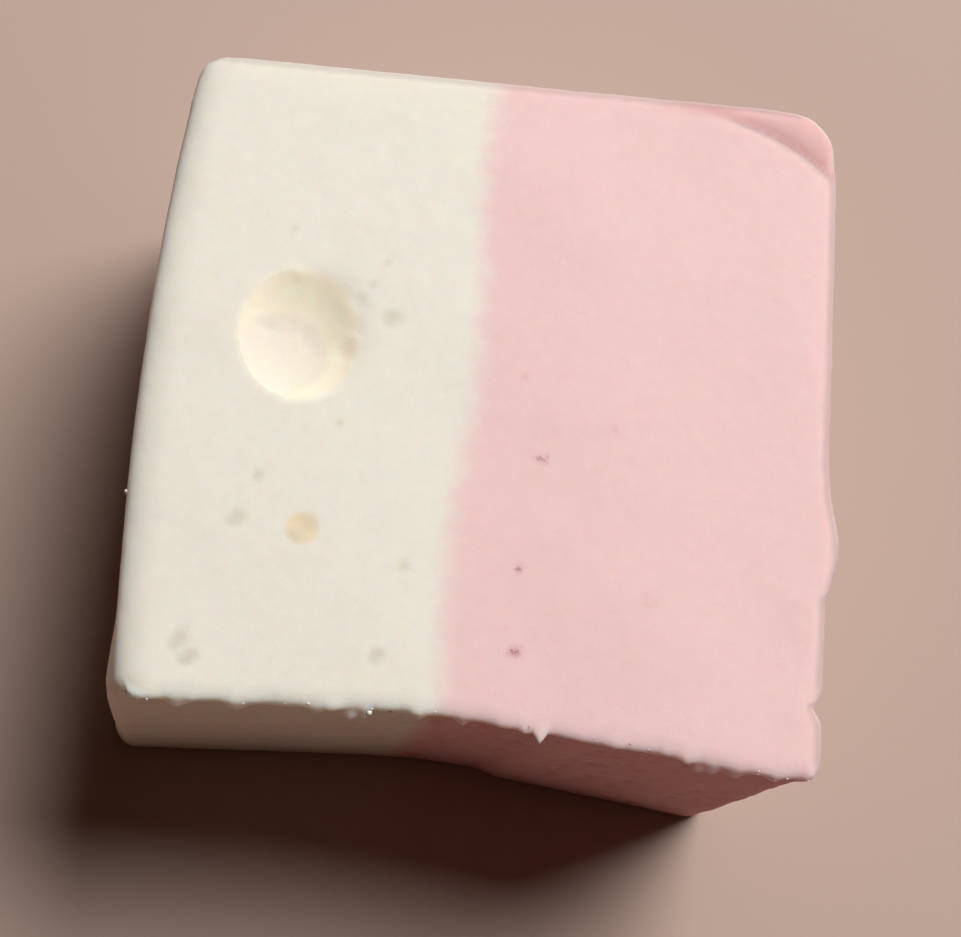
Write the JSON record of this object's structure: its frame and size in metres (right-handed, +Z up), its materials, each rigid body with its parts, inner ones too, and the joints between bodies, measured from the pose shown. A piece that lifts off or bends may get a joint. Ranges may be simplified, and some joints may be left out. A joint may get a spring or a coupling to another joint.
{
  "type": "two-tone square marshmallow",
  "caption": "Square-cut marshmallow, white on one half and pink on the other, with an open air bubble in its top and a torn knife cut along the front.",
  "frame": {"origin": "middle of the underside, on the surface that it rests on", "axes": "+Z up through the thickness, +X from the white half to the pink half, -Y towards the knife cut"},
  "size_m": [0.0426, 0.0433, 0.0252],
  "materials": {
    "white_mallow": "matt, powder-dusted sugar foam, soft and slightly see-through at thin edges",
    "pink_mallow": "matt, powder-dusted sugar foam with a few dark specks of dye"
  },
  "bodies": {
    "root": {"white_half": "white_mallow", "pink_half": "pink_mallow"}
  },
  "joints": []
}
